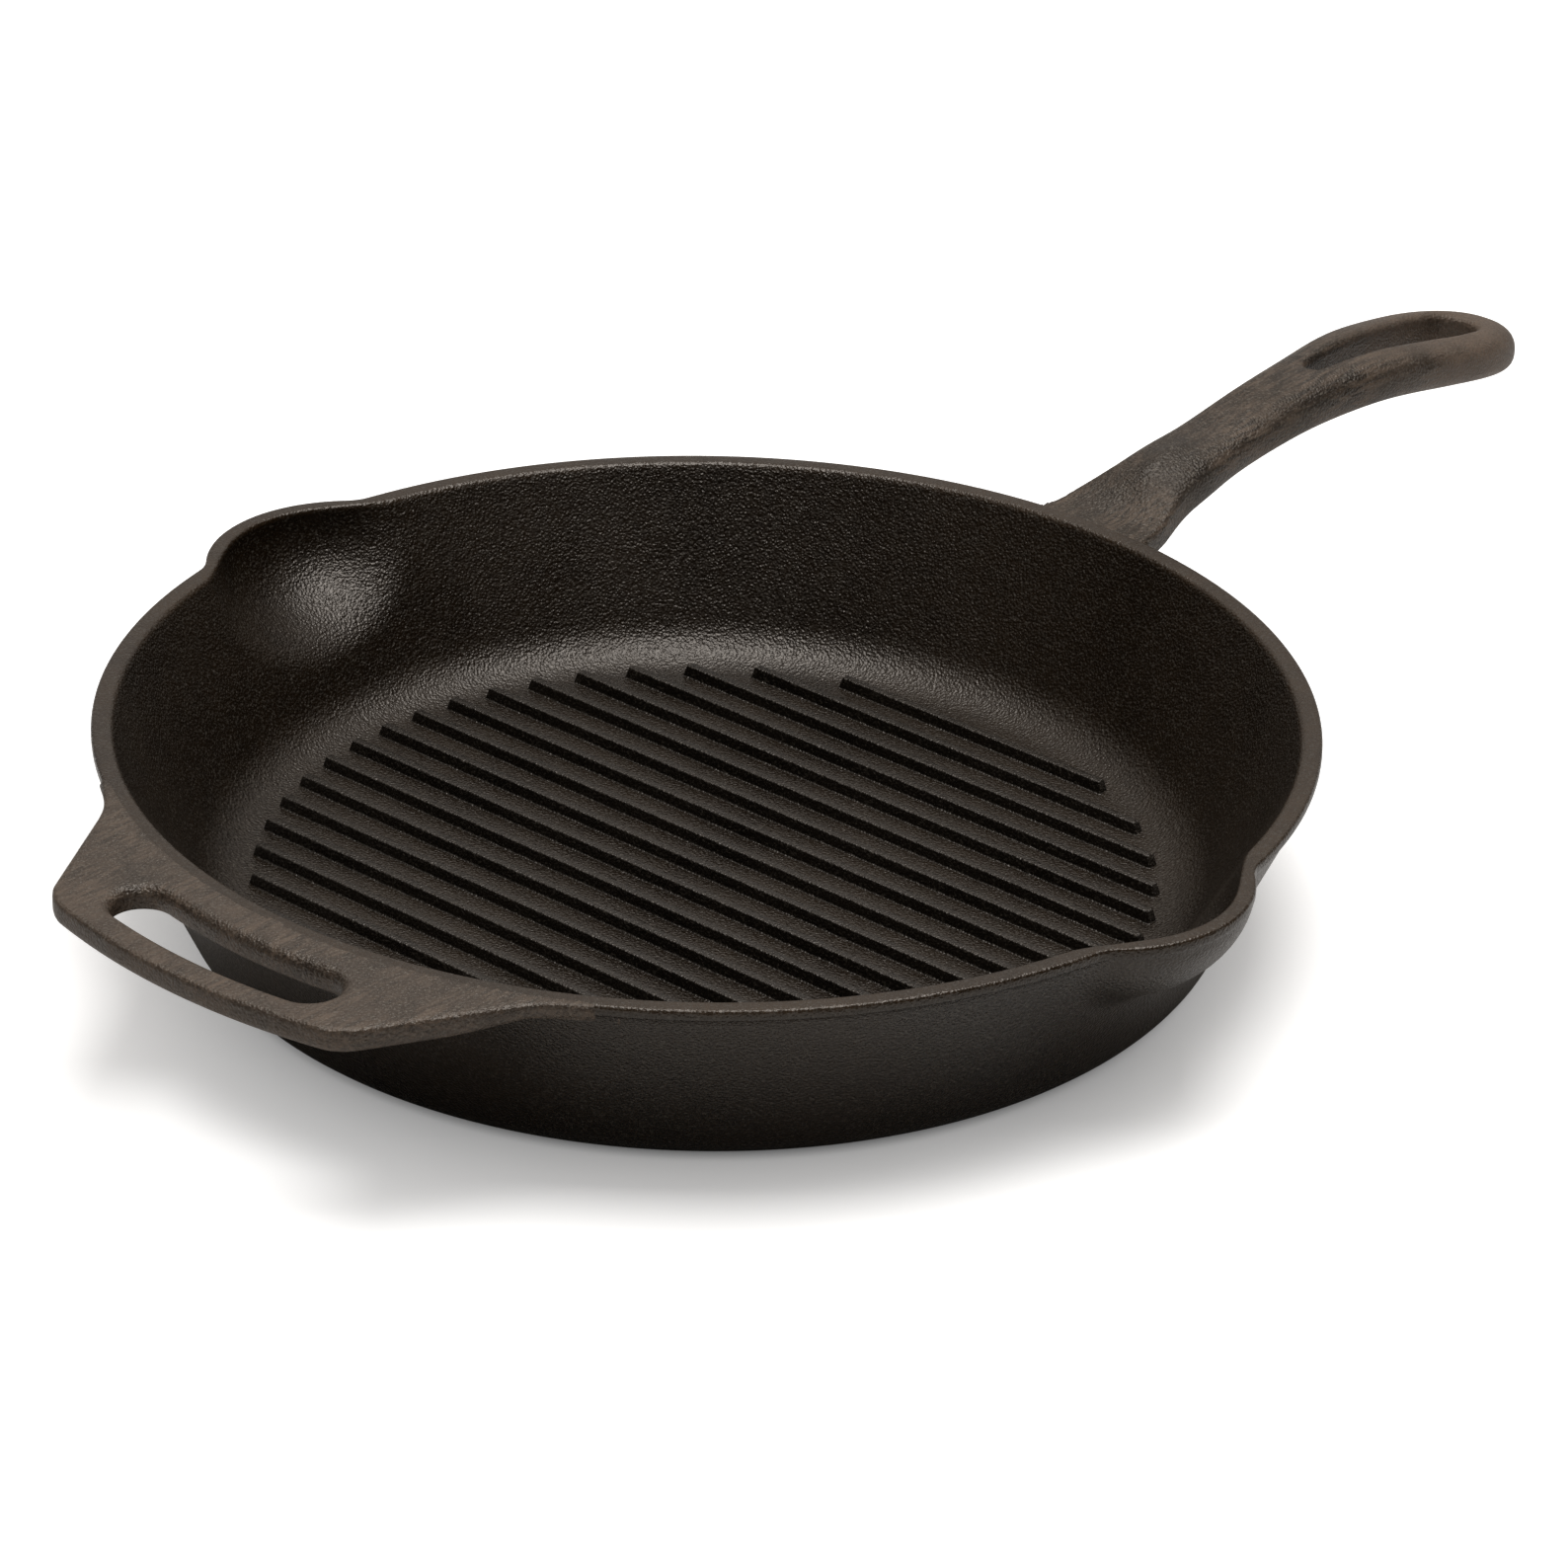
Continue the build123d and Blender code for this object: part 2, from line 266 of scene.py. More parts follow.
def bowlProfile():
    v = bowlValues
    foot = (v["footRadius"], 0)
    under = (outerRadius(v["wallHeight"]), v["wallHeight"])
    footArc = roundedCorner((0, 0), foot, under, v["footRounding"], v["footRows"])
    bandLow = (v["rimRadius"], v["bandFoot"])
    bandTop = (v["rimRadius"], v["rimHeight"])
    lip = (v["rimInner"], v["rimHeight"])
    corner = (v["floorRadius"], v["floorHeight"])
    rows = [(0, 0)] + evenly((0, 0), footArc[0], v["underRows"]) + footArc
    rows += evenly(footArc[-1], under, v["wallRows"]) + [under] + list(v["bandSide"])
    topArc = roundedCorner(bandLow, bandTop, lip, v["rimRounding"], v["rimRows"])
    lipArc = roundedCorner(bandTop, lip, corner, v["innerRounding"], v["lipRows"])
    rows += topArc + evenly(topArc[-1], lipArc[0], v["topRows"]) + lipArc
    floorArc = roundedCorner(lip, corner, (0, v["floorHeight"]), v["floorRounding"],
                             v["cornerRows"])
    rows += evenly(lipArc[-1], floorArc[0], v["wallRows"]) + floorArc
    rows += evenly(floorArc[-1], (0, v["floorHeight"]), v["floorRows"])
    rows += [(0, v["floorHeight"])]
    return rows


def slideOut(points, centre, field, farthest=2.5):  # along rays from the centre to the surface
    start = points - centre
    low, high = np.ones(len(points)), np.full(len(points), farthest)
    still = field(points) > -1e-7
    for _ in range(40):
        middle = (low + high) / 2
        inside = field(centre + start * middle[:, None]) < 0
        low = np.where(inside, middle, low)
        high = np.where(inside, high, middle)
    grow = np.where(still, 1, (low + high) / 2)
    return centre + start * grow[:, None]


def profileRow(points, rows, block=4000):  # the row of the profile that each point was spun from
    reach = np.hypot(points[:, 0], points[:, 1])
    row = np.empty(len(points), int)
    for start in range(0, len(points), block):
        part = slice(start, start + block)
        row[part] = ((reach[part, None] - rows[None, :, 0])**2
                     + (points[part, 2][:, None] - rows[None, :, 1])**2).argmin(1)
    return row


def drawSpouts(points, profile):
    v = bowlValues
    rows = np.array(profile)
    row = profileRow(points, rows)
    turn = np.arctan2(points[:, 0], points[:, 1])  # angle from the +Y axis
    turn = turn - v["crowding"] / 2 * np.sin(2 * turn)  # more columns at the spouts
    around = np.stack((np.sin(turn), np.cos(turn)), 1)
    rowR, rowZ = rows[row, 0], rows[row, 1]
    points = np.column_stack((around * rowR[:, None], rowZ))
    underRow = int(np.argmin(abs(rows[:, 0] - outerRadius(v["wallHeight"]))
                             + abs(rows[:, 1] - v["wallHeight"])))
    onTop = rows[:, 1] > v["rimHeight"] - 0.001
    topRow = int(np.argmax(onTop & (rows[:, 0] < v["rimRadius"] - 0.8)))
    lipRow = int(np.max(np.nonzero(onTop)[0]))
    lipFoot = v["rimHeight"] - v["lipDepth"]
    outside = (row <= underRow) & (rowZ > v["bulgeFoot"])
    band = (row > underRow) & (row <= lipRow)
    inside = (row > lipRow) & (rowZ > v["dishFoot"])
    for side in (1, -1):
        centre = np.array((0, side * v["spoutCentre"], v["rimHeight"]))
        near = (np.cos(turn) * side > v["spoutSpread"])

        def bulge(p):
            cone = np.hypot(p[:, 0], p[:, 1]) - outerRadius(p[:, 2])
            return joined(cone / math.hypot(1, v["wallSlope"]),
                          eggDistance(p, centre, *v["bulge"]), v["bulgeBlend"])

        def dish(p):
            cone = np.hypot(p[:, 0], p[:, 1]) - innerRadius(p[:, 2])
            return joined(cone / math.hypot(1, v["innerSlope"]),
                          eggDistance(p, centre, *v["dish"]), v["dishBlend"])

        def plan(p):
            return joined(np.hypot(p[:, 0], p[:, 1]) - v["rimRadius"],
                          np.hypot(p[:, 0], p[:, 1] - centre[1]) - v["bulge"][0], v["planBlend"])

        chosen = near & outside
        points[chosen] = slideOut(points[chosen], centre, bulge)
        chosen = near & (band | (inside & (rowZ > lipFoot)))  # the rim keeps its section
        flat = np.full(chosen.sum(), v["rimHeight"])
        outer = slideOut(np.column_stack((around[chosen] * v["rimRadius"], flat)), centre, plan)
        inner = slideOut(np.column_stack((around[chosen] * v["rimInner"], flat)), centre, dish)
        outward = outer - inner
        outward /= np.linalg.norm(outward, axis=1)[:, None]
        r, z = rowR[chosen], rowZ[chosen]
        across = (r - v["rimInner"]) / (v["rimRadius"] - v["rimInner"])
        place = inner + (outer - inner) * across[:, None]
        low = slideOut(np.column_stack((around[chosen] * outerRadius(v["wallHeight"]),
                                        np.full(len(r), v["wallHeight"]))), centre, bulge)
        share = np.clip((r - rows[underRow, 0]) / (v["rimRadius"] - rows[underRow, 0]), 0, 1)
        lower = low + (outer - low) * share[:, None]
        isLow = (row[chosen] > underRow) & (z < v["bandMiddle"])
        place = np.where(isLow[:, None], lower, place)
        wall = np.column_stack((around[chosen] * innerRadius(z)[:, None], z))
        wall = slideOut(wall, centre, dish)
        lip = wall + outward * (r - innerRadius(z))[:, None]
        isLip = (row[chosen] > topRow) & (r < v["rimInner"] + v["lipWidth"])
        place = np.where(isLip[:, None], lip, place)
        place[:, 2] = z
        points[chosen] = place
        chosen = near & inside & (rowZ <= lipFoot)
        points[chosen] = slideOut(points[chosen], centre, dish)
    return points


def makeBowl():
    v = bowlValues
    profile = bowlProfile()
    clearSelection()
    bpy.ops.mesh.primitive_plane_add(size=0.001, location=(0, 0, 0))
    bowl = nameIt("panBowl")
    editOn(bowl)
    bpy.ops.mesh.select_all(action="SELECT")
    bpy.ops.mesh.merge(type="CENTER")
    for before, after in zip(profile[:-1], profile[1:]):
        bpy.ops.mesh.extrude_vertices_move(TRANSFORM_OT_translate={
            "value": ((after[0] - before[0]) * mm, 0, (after[1] - before[1]) * mm)})
    bpy.ops.mesh.select_all(action="SELECT")
    bpy.ops.mesh.spin(steps=v["columns"], angle=2 * math.pi, center=(0, 0, 0), axis=(0, 0, 1),
                      use_auto_merge=True)
    editOff()
    facesOutward(bowl)
    writePoints(bowl, drawSpouts(readPoints(bowl), profile))
    pick(bowl)
    bpy.ops.object.shade_smooth()
    return bowl


bowl = makeBowl()
print("bowl made", len(bowl.data.polygons), "faces")


# The ribs are copies of one bevelled bar, each as long as its chord of the floor.

ribValues = {
    "pitch": 11.74, "eachSide": 9, "height": 3.2, "footWidth": 3.0, "crestWidth": 2.5,
    "crestRounding": 0.42, "rootRounding": 0.45, "endSlope": 0.9, "circle": 114.65, "floor": 8.0,
    "patternHalf": 40.0, "sunk": 0.3, "rootSteps": 5, "crestSteps": 4, "cutEvery": 2.5,
    "leastCuts": 4,
}


def makeRib():
    v = ribValues
    half = v["patternHalf"]
    foot = v["floor"] + v["rootRounding"]
    tall = v["height"] - v["rootRounding"]
    clearSelection()
    bpy.ops.mesh.primitive_cube_add(size=1, location=(0, 0, (foot + tall / 2) * mm))
    rib = nameIt("ribPattern")
    rib.scale = (v["footWidth"] * mm, 2 * (half + v["endSlope"]) * mm, tall * mm)
    applyPlace(rib)
    chooseFaces(rib, lambda face: face.normal.z > 0.9)
    bpy.ops.transform.resize(
        value=(v["crestWidth"] / v["footWidth"], half / (half + v["endSlope"]), 1),
        center_override=(0, 0, (foot + tall) * mm))
    editOff()
    chooseEdges(rib, lambda a, b: (a.z + b.z) / 2 / mm > foot + 0.3)
    bpy.ops.mesh.bevel(offset=v["crestRounding"] * mm, segments=v["crestSteps"], profile=0.5,
                       affect="EDGES", clamp_overlap=True)
    editOff()
    chooseFaces(rib, lambda face: face.normal.z < -0.9)
    width, length, steps = v["footWidth"] / 2, half + v["endSlope"], v["rootSteps"]
    before = (0.0, v["rootRounding"])
    for i in range(1, steps + 1):
        turn = math.pi / 2 * i / steps
        after = (v["rootRounding"] * (1 - math.cos(turn)),
                 v["rootRounding"] * (1 - math.sin(turn)))
        bpy.ops.mesh.extrude_region_move(TRANSFORM_OT_translate={
            "value": (0, 0, (after[1] - before[1]) * mm)})
        bpy.ops.transform.resize(value=((width + after[0]) / (width + before[0]),
                                        (length + after[0]) / (length + before[0]), 1),
                                 center_override=(0, 0, 0))
        before = after
    bpy.ops.mesh.extrude_region_move(TRANSFORM_OT_translate={"value": (0, 0, -v["sunk"] * mm)})
    editOff()
    facesOutward(rib)
    return rib


def copyRibs():
    v = ribValues
    pattern = makeRib()
    made = []
    for index in range(-v["eachSide"], v["eachSide"] + 1):
        x = -index * v["pitch"]
        end = math.sqrt(v["circle"]**2 - x**2)
        rib = pattern.copy()
        rib.data = pattern.data.copy()
        number = index + v["eachSide"] + 1
        rib.name = rib.data.name = f"grillRib.{number:02d}"
        bpy.context.collection.objects.link(rib)
        points = readPoints(rib)
        points[:, 0] += x
        points[:, 1] += np.sign(points[:, 1]) * (end - v["patternHalf"])
        writePoints(rib, points)
        chooseEdges(rib, lambda a, b: abs(a.y - b.y) > end * mm)  # the long edges
        bpy.ops.mesh.subdivide(number_cuts=max(v["leastCuts"], int(end / v["cutEvery"])))
        editOff()
        pick(rib)
        bpy.ops.object.shade_smooth()
        made.append(rib)
    pick(pattern)
    bpy.ops.object.delete()
    return made


ribs = copyRibs()
print("ribs made", len(ribs), "up to", len(ribs[ribValues["eachSide"]].data.polygons), "faces")


# The long handle is an arched bar that widens into a loop with a drop-shaped hole.

longHandleValues = {
    "stations": ((150.5, 16.8, 55.0, 7.4), (158, 16.0, 55.2, 7.6), (168, 15.0, 57.3, 8.4),
                 (180, 12.5, 61.3, 9.4), (200, 10.6, 65.6, 10.9), (225, 10.7, 69.3, 12.5),
                 (252, 12.2, 70.85, 13.4), (275, 15.4, 69.2, 12.7), (290, 17.2, 66.9, 12.2),
                 (312, 17.2, 62.9, 12.0), (327, 13.0, 59.7, 12.1), (335.5, 6.0, 57.6, 12.2)),
    "halfWidth": ((145, 18.6), (150, 18.0), (157, 17.1), (165, 16.0), (172, 14.3), (180, 12.7),
                  (190, 12.1), (200, 11.5), (212, 11.2), (225, 11.4), (240, 12.0), (255, 13.4),
                  (270, 15.4), (285, 17.1), (296, 17.8), (304, 18.0), (312, 18.0)),
    "top": ((140, 55), (150, 55), (157, 55.05), (165, 56.3), (175, 59.4), (185, 62.3), (195, 64.6),
            (215, 68.2), (235, 70.45), (252, 71.0), (270, 70.5), (290, 67.7), (312, 63.8),
            (330, 60.2), (340, 58.1)),
    "depth": ((140, 7.4), (155, 7.5), (175, 9.4), (200, 12.3), (225, 13.8), (250, 14.2),
              (275, 13.9), (300, 13.7), (320, 13.9), (340, 14.3)),
    "noseCentre": 304.0, "noseTip": 337.2, "noseHalf": 18.0, "noseSquare": 2.25,
    "crownWidth": (2.4, 9.6), "crownSquare": 2.5, "crownStart": 158, "crownFull": (206, 213),
    "topEdge": 1.6, "lowEdge": 2.6, "proud": 0.04, "drop": 0.5,
    "holeChain": ((250.9, 2.9), (283.0, 6.1), (306.0, 8.0), (315.0, 7.4)), "holeRounding": 2.2,
    "postEvery": 3, "postVoxel": 0.8, "rootFillet": 4.2, "sink": 0.35, "voxel": 1.0,
    "proudFrom": (152.5, 154), "dropUntil": (151.5, 153.2), "liftEnd": (160, 155),
}
handleTop = curveThrough(longHandleValues["top"])
handleDepth = curveThrough(longHandleValues["depth"])
handleHalf = curveThrough(longHandleValues["halfWidth"])


def bowlOutside(p):  # distance from the bowl's outer face, without its top
    v = bowlValues
    reach = np.hypot(p[:, 0], p[:, 1])
    cone = (reach - v["footRadius"] - v["wallSlope"] * p[:, 2]) / math.hypot(1, v["wallSlope"])
    band = np.maximum(reach - v["rimRadius"], v["bandFoot"] - p[:, 2])
    return joined(cone, band, v["bandBlend"])


filletFade = (0.75, 1.5)  # where the fillet ends, as shares of its radius
insideSpare = 0.6  # points deeper in the wall than the fillet and this stay where they are


def rootedBody(p, bar, v):  # the bar with a cast fillet at the wall, and which points may move
    wall, fillet = bowlOutside(p), v["rootFillet"]
    body = joined(wall, bar, fillet)
    body = body + v["sink"] * smoothStep(bar, filletFade[0] * fillet, filletFade[1] * fillet)
    return body, wall > -fillet - insideSpare


def longHandleField(p):
    v = longHandleValues
    x, y, z = p[:, 0], np.abs(p[:, 1]), p[:, 2]
    half = handleHalf(x)
    lean = (handleHalf(x + 0.5) - handleHalf(x - 0.5))
    side = (y - half) / np.hypot(1, lean)
    nose = np.array((v["noseTip"] - v["noseCentre"], v["noseHalf"]))
    q = np.abs(np.stack((np.maximum(x - v["noseCentre"], 1e-6), y + 1e-6), 1)) / nose
    power = v["noseSquare"]
    near = (q**power).sum(1)**(1 / power)
    steep = np.linalg.norm((q / near[:, None])**(power - 1) / nose, axis=1)
    side = np.where(x > v["noseCentre"], (near - 1) / np.maximum(steep, 1e-6), side)
    top, depth = handleTop(x), handleDepth(x)
    climb = 1 / np.hypot(1, handleTop(x + 0.5) - handleTop(x - 0.5))
    fall = 1 / np.hypot(1, (handleTop(x + 0.5) - handleDepth(x + 0.5))
                        - (handleTop(x - 0.5) - handleDepth(x - 0.5)))
    below = (top - depth - z) * fall
    start, (full, wideFull) = v["crownStart"], v["crownFull"]
    crowned = smoothStep(x, start, full)  # flat at the root, rounded all over further out
    low, wide = v["crownWidth"]
    width = low + (wide - low) * smoothStep(x, start, wideFull)
    across = np.maximum(1 + side / width, 0)
    along = np.abs(z - top + depth / 2) / (depth / 2)
    power = v["crownSquare"]
    near = np.maximum((across**power + along**power)**(1 / power), 1e-6)
    steep = np.hypot((across / near)**(power - 1) / width, (along / near)**(power - 1) * 2 / depth)
    section = (near - 1) / np.maximum(steep, 1e-3)
    bar = shared(side, below, v["lowEdge"]) * (1 - crowned) + section * crowned
    body, moved = rootedBody(p, bar, v)
    lift = (v["proud"] * smoothStep(x, *v["proudFrom"])
            - v["drop"] * (1 - smoothStep(x, *v["dropUntil"])))
    lift = lift * smoothStep(x, *v["liftEnd"])  # the top dips under the rim, where the bowl shows
    capped = shared(body, (z - top - lift) * climb, v["topEdge"])
    field = capped * (1 - crowned) + body * crowned
    hole = np.full(len(p), 1e3)
    chain = v["holeChain"]
    for (ax, ar), (bx, br) in zip(chain[:-1], chain[1:]):
        share = np.clip((x - ax) / (bx - ax), 0, 1)
        hole = np.minimum(hole, np.hypot(x - ax - share * (bx - ax), y)
                          - ar - share * (br - ar))
    field = shared(field, -hole, v["holeRounding"])
    return field, moved.astype(float)


def remeshed(thing, voxel):
    change = thing.modifiers.new("evenMesh", "REMESH")
    change.mode = "VOXEL"
    change.voxel_size = voxel * mm
    finishModifier(thing, change.name)


def softened(thing, rounds, factor=0.5):
    change = thing.modifiers.new("soften", "SMOOTH")
    change.iterations = rounds
    change.factor = factor
    finishModifier(thing, change.name)


def cutWith(thing, cutter):
    change = thing.modifiers.new("cut", "BOOLEAN")
    change.operation = "DIFFERENCE"
    change.solver = "EXACT"
    change.object = cutter
    finishModifier(thing, change.name)
    pick(cutter)
    bpy.ops.object.delete()


def finishForm(thing, field, voxel):  # an even mesh, drawn onto the exact form and smoothed
    remeshed(thing, voxel)
    settle(thing, field, rounds=4)
    softened(thing, 6)
    settle(thing, field, rounds=4)
    softened(thing, 2)
    settle(thing, field, rounds=3)
    pick(thing)
    bpy.ops.object.shade_smooth()


def makeLongHandle():
    v = longHandleValues
    x, half, top, depth = v["stations"][0]
    clearSelection()
    bpy.ops.mesh.primitive_cube_add(size=1, location=((x - 0.5) * mm, 0, (top - depth / 2) * mm))
    handle = nameIt("longHandle")
    handle.scale = (1.0 * mm, 2 * half * mm, depth * mm)
    applyPlace(handle)
    chooseFaces(handle, lambda face: face.normal.x > 0.9)
    for before, after in zip(v["stations"][:-1], v["stations"][1:]):
        middleBefore = before[2] - before[3] / 2
        middleAfter = after[2] - after[3] / 2
        bpy.ops.mesh.extrude_region_move(TRANSFORM_OT_translate={
            "value": ((after[0] - before[0]) * mm, 0, (middleAfter - middleBefore) * mm)})
        bpy.ops.transform.resize(value=(1, after[1] / before[1], after[3] / before[3]),
                                 center_override=(after[0] * mm, 0, middleAfter * mm))
    editOff()
    facesOutward(handle)
    posts = []
    for (place, radius), (nextPlace, nextRadius) in zip(v["holeChain"][:-1], v["holeChain"][1:]):
        steps = int((nextPlace - place) / v["postEvery"]) + 1
        for i in range(steps + 1):  # a chain of posts opens the loop
            share = i / steps
            bpy.ops.mesh.primitive_cylinder_add(
                vertices=24, radius=(radius + share * (nextRadius - radius)) * mm, depth=0.06,
                location=((place + share * (nextPlace - place)) * mm, 0, 0.06))
            posts.append(bpy.context.object)
    clearSelection()
    for post in posts:
        post.select_set(True)
    bpy.context.view_layer.objects.active = posts[0]
    bpy.ops.object.join()
    post = nameIt("holePost")
    remeshed(post, v["postVoxel"])
    cutWith(handle, post)
    finishForm(handle, longHandleField, v["voxel"])
    return handle


longHandle = makeLongHandle()
print("long handle made", len(longHandle.data.polygons), "faces")


# The helper handle is a flat plate with a curved finger slot.

helperValues = {
    "reach": 187.6, "flankDistance": 131.7, "flankTurn": 60.5, "cornerBlend": 4.4, "rimBlend": 42.0,
    "top": 55.0, "bottom": 48.6, "topEdge": 1.3, "bottomEdge": 2.4, "slotTopEdge": 3.0,
    "slotMiddle": 171.0, "slotHalf": 7.5, "slotEnd": 9.93, "slotShort": 0.75, "slotLowEdge": 1.6,
    "slotSpare": 1.6, "rootFillet": 3.0, "sink": 0.35, "proud": 0.04, "drop": 0.5,
    "tipRise": 3.6, "tipThin": 0.25, "tipEdge": 0.9, "inner": 151, "halfTurn": 34.5, "voxel": 0.9,
    "riseTurns": (20, 32.5), "thinTurns": (31, 33.5), "pullTurns": (31.5, 33.5),
    "edgeTurns": (24, 31), "dropUntil": (152.2, 153.6), "slotEdgeLevels": (50.5, 53),
    "plateSteps": 110, "slotSteps": 24, "slotLevel": 52.0, "slotDepth": 20.0, "endSpare": 0.3,
    "rimReach": 154.0, "leastReach": 154.6,
}


def helperPlan(x, y):
    v = helperValues
    turn = math.radians(v["flankTurn"])
    reach = np.hypot(x, y)
    flank = np.cos(turn) * x + np.sin(turn) * y - v["flankDistance"]
    plate = shared(flank, reach - v["reach"], v["cornerBlend"])
    away = bowlValues["rimRadius"] + v["rimBlend"]
    lineTurn = math.acos((v["flankDistance"] + v["rimBlend"]) / away)
    centreTurn = turn - lineTurn  # middle of the hollow arc between the rim and the flank
    cx, cy = away * math.cos(centreTurn), away * math.sin(centreTurn)
    dx, dy = x - cx, y - cy
    toRim = np.array((-math.cos(centreTurn), -math.sin(centreTurn)))
    toLine = np.array((-math.cos(turn), -math.sin(turn)))
    acrossRim = toRim[0] * dy - toRim[1] * dx
    acrossLine = toLine[0] * dy - toLine[1] * dx
    turnSign = np.sign(toRim[0] * toLine[1] - toRim[1] * toLine[0])
    inZone = (acrossRim * turnSign > 0) & (acrossLine * turnSign < 0)
    hollow = v["rimBlend"] - np.hypot(dx, dy)
    return np.where(inZone & (reach < v["reach"]), hollow, plate)


def helperField(p):
    v = helperValues
    x, y, z = -p[:, 0], np.abs(p[:, 1]), p[:, 2]
    reach = np.hypot(x, y)
    turn = np.degrees(np.arctan2(y, x))
    side = helperPlan(x, y)
    bottom = v["bottom"] + v["tipRise"] * smoothStep(turn, *v["riseTurns"])  # thinner at the tips
    bar = shared(side, bottom - z, v["bottomEdge"])
    body, moved = rootedBody(p, bar, v)
    lift = (v["proud"] - v["drop"] * (1 - smoothStep(reach, *v["dropUntil"]))
            - v["tipThin"] * smoothStep(turn, *v["thinTurns"]))
    edge = v["topEdge"] - (v["topEdge"] - v["tipEdge"]) * smoothStep(turn, *v["edgeTurns"])
    body = body + v["tipThin"] * smoothStep(turn, *v["pullTurns"])
    field = shared(body, z - v["top"] - lift, edge)
    end = v["slotEnd"] - v["slotShort"] * (p[:, 1] < 0)  # the right end is a little shorter
    flat = np.abs(reach - v["slotMiddle"])
    tip = np.hypot(x - v["slotMiddle"] * np.cos(np.radians(end)),
                   y - v["slotMiddle"] * np.sin(np.radians(end)))
    slot = np.where(turn < end, flat, tip) - v["slotHalf"]
    upper = smoothStep(z, *v["slotEdgeLevels"])
    field = shared(field, -slot, v["slotLowEdge"] * (1 - upper) + v["slotTopEdge"] * upper)
    return field, (moved & (turn < v["halfTurn"] - v["endSpare"])).astype(float)


def spinSector(thing, halfTurn, steps):  # a flat section swept about the pan's axis
    points = readPoints(thing)
    start = math.radians(-halfTurn)
    points = np.column_stack((points[:, 0] * math.cos(start), points[:, 0] * math.sin(start),
                              points[:, 2]))
    writePoints(thing, points)
    editOn(thing, "FACE")
    bpy.ops.mesh.select_all(action="SELECT")
    bpy.ops.mesh.spin(steps=steps, angle=math.radians(2 * halfTurn), center=(0, 0, 0),
                      axis=(0, 0, -1))
    editOff()


def makeHelper():
    v = helperValues
    clearSelection()
    bpy.ops.mesh.primitive_plane_add(size=1, location=(0, 0, 0))
    plate = nameIt("helperHandle")
    plate.rotation_euler = (math.pi / 2, 0, 0)
    plate.scale = ((v["reach"] - v["inner"]) * mm, (v["top"] - v["bottom"]) * mm, 1)
    plate.location = (-(v["reach"] + v["inner"]) / 2 * mm, 0, (v["top"] + v["bottom"]) / 2 * mm)
    applyPlace(plate)
    spinSector(plate, v["halfTurn"], v["plateSteps"])
    points = readPoints(plate)
    reach = np.hypot(points[:, 0], points[:, 1])
    turn = np.arctan2(np.abs(points[:, 1]), -points[:, 0])
    low, high = np.full(len(points), v["rimReach"]), np.full(len(points), v["reach"])
    for _ in range(30):  # the plate's edge along each ray from the pan's middle
        middle = (low + high) / 2
        outside = helperPlan(middle * np.cos(turn), middle * np.sin(turn)) > 0
        high = np.where(outside, middle, high)
        low = np.where(outside, low, middle)
    share = (reach - v["inner"]) / (v["reach"] - v["inner"])
    newReach = v["inner"] + share * (np.maximum(low, v["leastReach"]) - v["inner"])
    points[:, :2] *= (newReach / reach)[:, None]
    writePoints(plate, points)
    facesOutward(plate)
    clearSelection()
    bpy.ops.mesh.primitive_plane_add(size=1, location=(0, 0, 0))
    cutter = nameIt("slotCutter")
    cutter.rotation_euler = (math.pi / 2, 0, 0)
    cutter.scale = (2 * v["slotHalf"] * mm, v["slotDepth"] * mm, 1)
    cutter.location = (-v["slotMiddle"] * mm, 0, v["slotLevel"] * mm)
    applyPlace(cutter)
    spinSector(cutter, v["slotEnd"] + v["slotSpare"], v["slotSteps"])
    facesOutward(cutter)
    cutWith(plate, cutter)
    finishForm(plate, helperField, v["voxel"])
    return plate


helper = makeHelper()
print("helper handle made", len(helper.data.polygons), "faces")


# Seasoned cast iron: grain, tone, and wear with painted sheen as node groups, one material per kind
# of piece.
# Noise scales are per metre, heights are shares of a material's bump.

grainValues = {
    "peel": {"detail": 2.0, "rough": 0.45, "height": 0.9, "hollow": (0.3, 0.62)},
    "pebble": {"smooth": 0.45, "height": 0.9},
    "sand": {"detail": 3.0, "rough": 0.6, "height": 0.22},
    "wave": {"scale": 60.0, "height": 0.9},
}
toneValues = {
    "patch": {"detail": 4.0, "rough": 0.55, "range": (0.32, 0.68), "share": 0.5},
    "blotch": {"scale": 140.0, "range": (0.3, 0.7), "share": 0.3},
    "speck": {"scale": 1500.0, "range": (0.35, 0.65), "share": 0.2},
    "fleck": {"scale": 1250.0, "range": (0.52, 0.72), "most": 0.8},
}
wearAndSheenValues = {
    "rimScale": 320.0,
    "streak": {"turn": (0.0, 0.5, 0.9), "stretch": (0.12, 1.0, 1.0), "range": (0.35, 0.68),
               "patchScale": 55.0, "patchRange": (0.35, 0.65)},
    "heldAndSheen": {"scale": 45.0, "spread": 0.05, "loop": (0.25, 0.30), "plate": (-0.12, -0.15),
                "plateShare": 0.6},
}


def newGroup(name, inputs, outputs):
    group = bpy.data.node_groups.new(name, "ShaderNodeTree")
    for label, kind, value in inputs:
        socket = group.interface.new_socket(name=label, in_out="INPUT", socket_type=kind)
        if value is not None:
            socket.default_value = value
    for label, kind in outputs:
        group.interface.new_socket(name=label, in_out="OUTPUT", socket_type=kind)
    start = group.nodes.new("NodeGroupInput")
    end = group.nodes.new("NodeGroupOutput")
    return group, start, end


def feed(tree, socket, value):  # a link from another node, or a plain value
    if hasattr(value, "is_linked"):
        tree.links.new(value, socket)
    elif isinstance(value, (int, float)):
        socket.default_value = value
    else:
        socket.default_value = (*value, 1)


